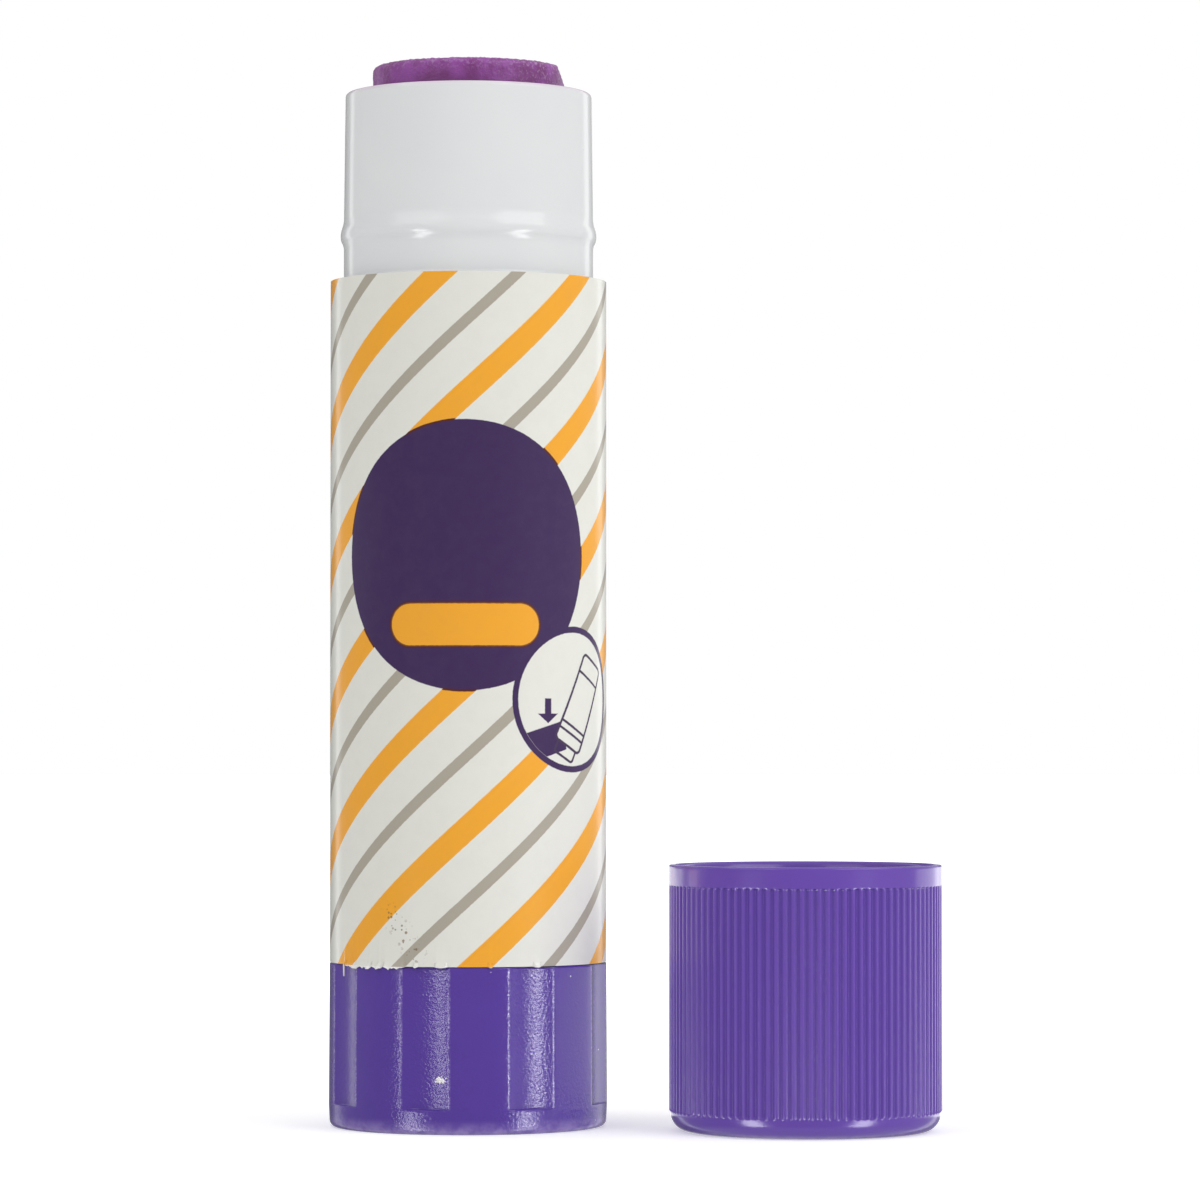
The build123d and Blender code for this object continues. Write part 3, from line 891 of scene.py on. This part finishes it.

# Painted glint: the long edges of the flutes are laid paler in grains, standing in for their
# highlight.
half_pitch = radians(flute_pitch / 2)
turned = minus(tree, maths(tree, "ARCTAN2", y_way, x_way), radians(first_flute))
turned = maths(tree, "WRAP", turned, half_pitch, -half_pitch)
off_edge = minus(tree, maths(tree, "ABSOLUTE", turned), radians(flute_half))
painted_edge_glint = times(
    tree, fade(tree, maths(tree, "ABSOLUTE", off_edge), radians(0.75), radians(0.1)),
    fade(tree, skin_on(tree, place, 0.22, 0.7), 0.44, 0.62, 0.06, 0.65),
    fade(tree, skin_on(tree, place, 3.0), 0.36, 0.6, 0.2, 1.0),
    fade(tree, up_way, flute_foot_z / mm, flute_foot_z / mm + 0.2),
    fade(tree, up_way, knob_top_z / mm, knob_top_z / mm - 0.3),
    maths(tree, "GREATER_THAN", reach_of(tree, place), 12.3))
colour = lay_over(tree, colour, paint(172, 160, 208), painted_edge_glint)
feed_socket(tree, lay_over(tree, colour, paint(226, 224, 222), scuff), shader["Base Color"])
dress(knob_shell, knob_finish)

# %% The cap's finish
cap_finish, tree, shader, colour, place = purple_plastic(
    "Purple plastic, cap", cap_at, paint(106, 72, 176), paint(102, 68, 170),
    0.3, 0.003 * mm, 0.17, 0.06, 0.5)
reach = reach_of(tree, place)
# Painted shade: the valleys between the ribs are laid darker.
painted_valley_shade = times(
    tree, fade(tree, reach, rib_r / mm, rib_root_r / mm + 0.03),
    maths(tree, "GREATER_THAN", reach, rib_root_r / mm - 0.05),
    fade(tree, ways(tree, place)[2], rib_foot_z / mm - 0.1, rib_foot_z / mm + 0.2))
feed_socket(tree, lay_over(tree, colour, paint(92, 61, 161), painted_valley_shade), shader["Base Color"])
dress(cap_shell, cap_finish)

# %% [markdown]
# ## Glue
#
# The glue is a moist, waxy solid. Light sinks into it a little, so it gets some subsurface
# scattering, and its skin is grainy where it was rubbed on paper. Dried crumbs at the rim are
# paler than the body. The grain is a bump over the crumbly shape that the mesh already has.

# %% Glue
glue_finish, tree, shader = new_finish("Moist glue")
place = place_in_mm(tree)
parts = ways(tree, place)
cloud = skin_on(tree, place, 2.2, 0.6)
grain = skin_on(tree, place, 0.32, 0.7)
blotches = times(tree, fade(tree, cloud, 0.35, 0.7),
                 fade(tree, parts[2], glue_high.z / mm - 8, glue_high.z / mm - 2, 0.3, 1.0))
colour = lay_over(tree, paint(127, 57, 127), paint(150, 76, 162), blotches)
near_rim = fade(tree, parts[2], glue_high.z / mm - 1.5, glue_high.z / mm - 0.1)
worn_side = fade(tree, parts[0], 2.0, 8.5)
pale = times(tree, near_rim, fade(tree, grain, 0.5, 0.66), 0.45)
colour = lay_over(tree, colour, paint(186, 150, 196), pale)
# Painted highlight: pale specks on the worn side stand in for the glints of its moist skin.
painted_wet_glints = times(tree, fade(tree, grain, 0.54, 0.62), worn_side, 0.3)
colour = lay_over(tree, colour, paint(206, 178, 214), painted_wet_glints)
coat(tree, shader, colour, fade(tree, grain, 0.35, 0.65, 0.28, 0.5), grain, 0.06 * mm)
shader["Subsurface Weight"].default_value = 0.15
shader["Subsurface Radius"].default_value = (1.0, 0.5, 1.0)
shader["Subsurface Scale"].default_value = 0.8 * mm
dress(glue_shell, glue_finish)

# %% [markdown]
# ## Printed label
#
# The artwork is drawn with distances. Each shape is a small sum that says how far a point of
# the film lies from the shape's edge, and ink is laid wherever that distance is below zero. The
# edges stay sharp at any zoom, no picture is needed, and the inks can be laid in the order in
# which a press prints them: stripes, round, bar, badge. Where the purple ink overlaps the orange
# it traps a thin brown line. A faint wobble in the coordinates keeps the ink's edges from
# looking drawn by a computer. Crumbs of dried glue cling to the film a little above its foot.

# %% Shapes that the artwork uses
rounded_box, given, sent = new_group(
    "Rounded box", {"Place": (0, 0, 0), "Centre": (0, 0, 0), "Half": (1, 1, 0), "Corner": 0.1,
                    "Turn": 0.0}, {"Distance": "Float", "Local": "Vector"})
moved = vector(rounded_box, "SUBTRACT", given["Place"], given["Centre"])[0]
local = add_node(rounded_box, "VectorRotate", rotation_type="Z_AXIS", named={
    "Vector": moved, "Angle": given["Turn"]}).outputs[0]
corner = add_node(rounded_box, "CombineXYZ", given["Corner"], given["Corner"], 0.0)
past = vector(rounded_box, "SUBTRACT", vector(rounded_box, "ABSOLUTE", local)[0],
              vector(rounded_box, "SUBTRACT", given["Half"], corner)[0])[0]
sides = ways(rounded_box, past)
deepest = maths(rounded_box, "MINIMUM", maths(rounded_box, "MAXIMUM", sides[0], sides[1]), 0.0)
length = reach_of(rounded_box, vector(rounded_box, "MAXIMUM", past, (0, 0, 0))[0])
feed_socket(rounded_box, minus(rounded_box, maths(rounded_box, "ADD", length, deepest),
                               given["Corner"]), sent["Distance"])
feed_socket(rounded_box, local, sent["Local"])

# %% The film's own coordinates, in millimetres round and up
label_finish, tree, shader = new_finish("Printed film")
print_low = 0.16  # how far the print sits below its place in the artwork
flat = add_node(tree, "UVMap", uv_map=label_film.data.uv_layers[0].name).outputs[0]
flat = vector(tree, "MULTIPLY_ADD", flat, (film_w / mm, film_h / mm, 0),
              (-film_w / mm / 2, film_low_z / mm + print_low, 0))[0]
wobble = add_node(tree, "TexNoise", named={"Vector": flat, "Scale": 3.0, "Detail": 2.0})
wobble = vector(tree, "SUBTRACT", wobble.outputs[1], (0.5, 0.5, 0.5))[0]
inked = vector(tree, "MULTIPLY_ADD", wobble, (0.07, 0.07, 0), flat)[0]
round_way, up_way = ways(tree, inked)[:2]


def inside(distance, soft=0.045):
    """1 where a distance is below zero, with a soft edge."""
    return fade(tree, distance, soft, -soft)


def ring_distance(centre, radius):
    """How far a point of the film is outside a circle."""
    return minus(tree, vector(tree, "DISTANCE", inked, (*centre, 0))[1], radius)


def box_shape(centre, half, corner, turn=0):
    """How far a point is outside a rounded box, and its place in the box's own directions."""
    return use_group(tree, rounded_box, Place=inked, Centre=(*centre, 0), Half=(*half, 1),
                     Corner=corner, Turn=radians(turn)).outputs


def edge_line(distance, half):
    """1 in a line along a shape's edge."""
    return inside(minus(tree, maths(tree, "ABSOLUTE", distance), half))


# %% Stripes
stripe_step = 14.64        # round the barrel from one orange stripe to the next
stripe_start = 1.5
stripe_rise = 0.9136       # how far it climbs for each step round
stripe_squeeze = sin(atan2(stripe_rise, 1))
phase = minus(tree, round_way, maths(tree, "DIVIDE", up_way, stripe_rise))
phase = maths(tree, "DIVIDE", maths(tree, "ADD", phase, stripe_start), stripe_step)


def stripe(shift, half):
    """Ink where a point is within half a width of every stripe that starts at a shift."""
    wrapped = maths(tree, "WRAP", minus(tree, phase, shift), 0.5, -0.5)
    across = times(tree, maths(tree, "ABSOLUTE", wrapped), stripe_step * stripe_squeeze)
    return inside(minus(tree, across, half))


orange_stripes = stripe(0.0, 1.10)
grey_stripes = stripe(0.5, 0.50)

# %% Lay the inks
film_white, orange = paint(227, 227, 219), paint(242, 168, 46)
purple, brown, grey = paint(61, 38, 86), paint(82, 34, 36), paint(172, 165, 151)
disc_at, disc_r = (0, 53.44), 12.48
pill_at, pill_half_w, pill_half_h = (0, 47.04), 7.24, 2.04
badge_at, badge_r, badge_edge = (11.2, 40.16), 6.76, 0.58
disc = ring_distance(disc_at, disc_r)
pill = box_shape(pill_at, (pill_half_w, pill_half_h), pill_half_h)[0]
badge = ring_distance(badge_at, badge_r)
badge_face = ring_distance(badge_at, badge_r - badge_edge)

ink = lay_over(tree, film_white, grey, grey_stripes)
ink = lay_over(tree, ink, orange, orange_stripes)
ink = lay_over(tree, ink, purple, inside(disc))
ink = lay_over(tree, ink, brown, times(tree, edge_line(disc, 0.11), orange_stripes))
ink = lay_over(tree, ink, orange, inside(pill))
ink = lay_over(tree, ink, brown, times(tree, edge_line(pill, 0.12), 0.9))
ink = lay_over(tree, ink, purple, inside(badge))
ink = lay_over(tree, ink, film_white, inside(badge_face))

# %% The badge: a small stick over the patch that it has wiped, and an arrow
line_ink = paint(66, 50, 80)
arrow_x, arrow_tip_z, arrow_back_z = 8.15, 37.95, 38.85
little_turn = 28
patch = box_shape((8.1, 36.3), (2.0, 1.35), 0.08, -16)[0]
shaft = box_shape((arrow_x, 39.5), (0.36, 0.75), 0.02)[0]
aside = maths(tree, "ABSOLUTE", minus(tree, round_way, arrow_x))
slant = maths(tree, "MULTIPLY_ADD", aside, 0.8, minus(tree, arrow_tip_z, up_way))
head = maths(tree, "MAXIMUM", slant, minus(tree, up_way, arrow_back_z))
little_tip = box_shape((10.35, 35.6), (1.25, 0.85), 0.3, little_turn)[0]
little, little_place = box_shape((12.55, 39.75), (1.75, 4.4), 0.5, little_turn)
along = ways(tree, little_place)[1]
drawing = [
    (purple, inside(patch)), (purple, inside(shaft)), (purple, inside(head)),
    (line_ink, edge_line(little_tip, 0.12)),
    (film_white, inside(little)), (line_ink, edge_line(little, 0.13)),
]
for band in (-3.2, -2.5, 2.6):
    line = edge_line(minus(tree, along, band), 0.12)
    drawing.append((line_ink, times(tree, line, inside(little))))
for drawn_ink, mask in drawing:
    ink = lay_over(tree, ink, drawn_ink, times(tree, mask, inside(badge_face)))

# %% Wear and gloss of the film
mottle = skin_on(tree, flat, 1.6, 0.7)
ink = lay_over(tree, ink, paint(128, 120, 128), fade(tree, mottle, 0.3, 0.8, 0.0, 0.03))
hairlines = use_group(tree, rubs, Place=flat, Stretch=(2.5, 0.25, 1.0), Amount=0.3)
crumbs = use_group(tree, specks, Place=flat, Spacing=0.36, Size=0.13, Share=0.85)
clusters = skin_on(tree, flat, 1.1, 0.8)
crumb_patch = box_shape((-5.9, 18.6), (1.1, 3.2), 1.0, -36)[0]
crumbs = times(tree, crumbs, fade(tree, clusters, 0.36, 0.48),
               fade(tree, crumb_patch, 0.4, -1.0), 0.85)
ink = lay_over(tree, ink, paint(128, 104, 66), crumbs)
torn = maths(tree, "LESS_THAN", ways(tree, place_in_mm(tree))[2], film_low_z / mm - 0.02)
coat(tree, shader, lay_over(tree, ink, paint(240, 238, 234), torn),
     maths(tree, "MULTIPLY_ADD", hairlines, 0.08, 0.20), skin_on(tree, flat, 2.6, 0.3), 0.012 * mm)
shader["Specular IOR Level"].default_value = 0.4
dress(label_film, label_finish)
print("label finish has", len(tree.nodes), "nodes")

# %% [markdown]
# ## Hang the pieces on the moving bodies
#
# Each new piece stands for one part of the construction model and moves with the same body, so
# it turns, climbs or lifts off with it. The screw and the carrier keep their own meshes.

# %% Ride and replace
for piece, body, node, slot in (
    (barrel_shell, "barrel", "barrel", "white_plastic"),
    (label_film, "barrel", "label", "label_film"),
    (knob_shell, "knob", "knob", "purple_plastic"),
    (glue_shell, "carrier", "glue", "glue"),
    (cap_shell, "cap", "cap", "purple_plastic"),
):
    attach(piece, body)
    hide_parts(node)
    print(piece.name, "moves with", body)

# %% [markdown]
# ## Floor, lamps and surroundings
#
# The floor is plain and pale. The camera sees it lifted to white, so it keeps the object's shadow,
# and it glows a little for diffuse rays, so it lights the object from below like a lamp, but it
# never shows in a reflection. Two large soft lamps stand in front, one on each side, and light
# everything. The other lamps are small. Low narrow ones draw the paired patches on the bead, on
# the knob's foot and on the cap's closed end, and one on each side draws the band in a flute. The
# stick and the cap were lit apart in the photograph, so each small lamp is linked to the pieces
# that it is for. Round walls also mirror what stands beside and behind them: a narrow bright
# strip, then a dark gap next to the white background, which draws a thin grey line down both
# edges of a white tube. The world holds those strips, and it is pale underneath, because some of
# the light came from below.

# %% Floor
bpy.ops.object.select_all(action="DESELECT")
bpy.ops.mesh.primitive_plane_add(size=8)
floor = bpy.context.object
floor.name = "floor"
floor_finish, tree, shader = new_finish("Pale floor")
floor_grain = add_node(tree, "TexNoise", named={"Scale": 40.0, "Detail": 3.0})
shader["Roughness"].default_value = 0.8
shader["Specular IOR Level"].default_value = 0.2
feed_socket(tree, lay_over(tree, paint(238, 238, 238), paint(240, 240, 240), floor_grain),
            shader["Base Color"])
shader["Emission Color"].default_value = (1, 1, 1, 1)
camera_only = add_node(tree, "LightPath").outputs["Is Camera Ray"]
off_centre = vector(tree, "LENGTH", add_node(tree, "TexCoord").outputs["Object"])[1]
lift = fade(tree, off_centre, 0.06, 0.30, 0.40, 1.0)
# The floor glows for diffuse rays, so it lights the object from below as a lamp would.
glow = times(tree, add_node(tree, "LightPath").outputs["Is Diffuse Ray"], 0.15)
feed_socket(tree, maths(tree, "MULTIPLY_ADD", camera_only, lift, glow), shader["Emission Strength"])
dress(floor, floor_finish)
floor.visible_glossy = False

# %% Lamps
def add_lamp(name, faces, bearing, away, height, aim_z, wide, tall, bright, lights=(), shows="both"):
    """Adds a soft lamp at a bearing from the camera's side, which faces an upright axis."""
    target = Vector((*faces, aim_z))
    place = Vector((faces[0] + away * sin(radians(bearing)), faces[1] - away * cos(radians(bearing)),
                    height))
    aim = (target - place).to_track_quat("-Z", "Y").to_euler()
    bpy.ops.object.light_add(type="AREA", location=place, rotation=aim)
    lamp = bpy.context.object
    lamp.name = name
    lamp.visible_camera = False
    lamp.visible_glossy = shows != "matt"
    lamp.visible_diffuse = shows != "gloss"
    lamp.data.shape = "RECTANGLE"
    lamp.data.size, lamp.data.size_y = wide, tall
    lamp.data.energy = bright * pi * wide * tall
    if lights:
        lit = bpy.data.collections.new(name + "_lights")
        for piece in lights:
            lit.objects.link(piece)
        lamp.light_linking.receiver_collection = lit
        lamp.light_linking.blocker_collection = lit
    return lamp


stick_at, between = (0, 0), (0.01, 0)
add_lamp("soft_left", between, -50, 0.95, 0.68, 0.045, 0.90, 0.60, 1.32)
add_lamp("soft_right", between, 54, 0.95, 0.68, 0.045, 0.90, 0.60, 2.40)
for side, bearing, bright in (("left", -45, 7.6), ("right", 53, 18.5)):
    add_lamp("low_stick_" + side, stick_at, bearing, 0.5, -0.24, 0.01, 0.13, 0.40, 6.5,
             (knob_shell, label_film, barrel_shell), "gloss")
    add_lamp("flute_" + side, stick_at, bearing - 4, 0.5, -0.015, 0.01, 0.06, 0.10, bright,
             (knob_shell,), "gloss")
    add_lamp("low_cap_" + side, cap_at, bearing - 4, 0.5, -0.19, 0.01, 0.15, 0.30, 10.5,
             (cap_shell,), "gloss")
add_lamp("edge_stick", stick_at, 98, 0.08, 0.006, 0.006, 0.100, 0.024, 1.4, (knob_shell,), "gloss")
add_lamp("fill_stick", stick_at, 80, 0.08, 0.006, 0.006, 0.080, 0.024, 3.6,
         (knob_shell, label_film), "matt")
for side, bearing in (("left", -135), ("right", 135)):
    add_lamp("edge_cap_" + side, cap_at, bearing, 0.10, 0.010, 0.010, 0.140, 0.040, 1.5,
             (cap_shell,), "gloss")

# %% Surroundings
world = bpy.data.worlds.new("Studio")
bpy.context.scene.world = world
world.use_nodes = True
tree = world.node_tree
tree.nodes.clear()
looked_at = add_node(tree, "TexCoord").outputs["Generated"]
x_way, y_way, z_way = ways(tree, looked_at)
bearing = maths(tree, "ARCTAN2", x_way, times(tree, y_way, -1.0))
around = maths(tree, "MULTIPLY_ADD", bearing, 1 / (2 * pi), 0.5)
strips = add_node(tree, "ValToRGB", around)
stops = (  # bearing from the camera's side, and how bright that way is
    (-180, 0.9), (-175, 0.9), (-172, 0.18), (-144, 0.18), (-142, 1.5), (-135, 1.5), (-133, 0.46),
    (-90, 0.46), (-60, 0.34), (-30, 0.38), (0, 0.42), (30, 0.42), (70, 0.62), (137, 0.62),
    (139, 1.5), (150, 1.5), (152, 0.34), (172, 0.34), (175, 0.9), (180, 0.9),
)
ramp = strips.color_ramp
for place, (angle, bright) in enumerate(stops):
    stop = ramp.elements[place] if place < 2 else ramp.elements.new(1.0)
    stop.position = angle / 360 + 0.5
    stop.color = (bright, bright, bright, 1)
overhead = fade(tree, z_way, 0.45, 0.8)
dome = lay_over(tree, strips.outputs[0], (0.8, 0.8, 0.8, 1), overhead)
dome = lay_over(tree, dome, (1, 1, 1, 1), fade(tree, z_way, -0.5, -0.8))
seen = add_node(tree, "LightPath").outputs["Is Camera Ray"]
light = add_node(tree, "Background", lay_over(tree, dome, (1, 1, 1, 1), seen), 1.0)
tree.links.new(light.outputs[0], add_node(tree, "OutputWorld").inputs[0])
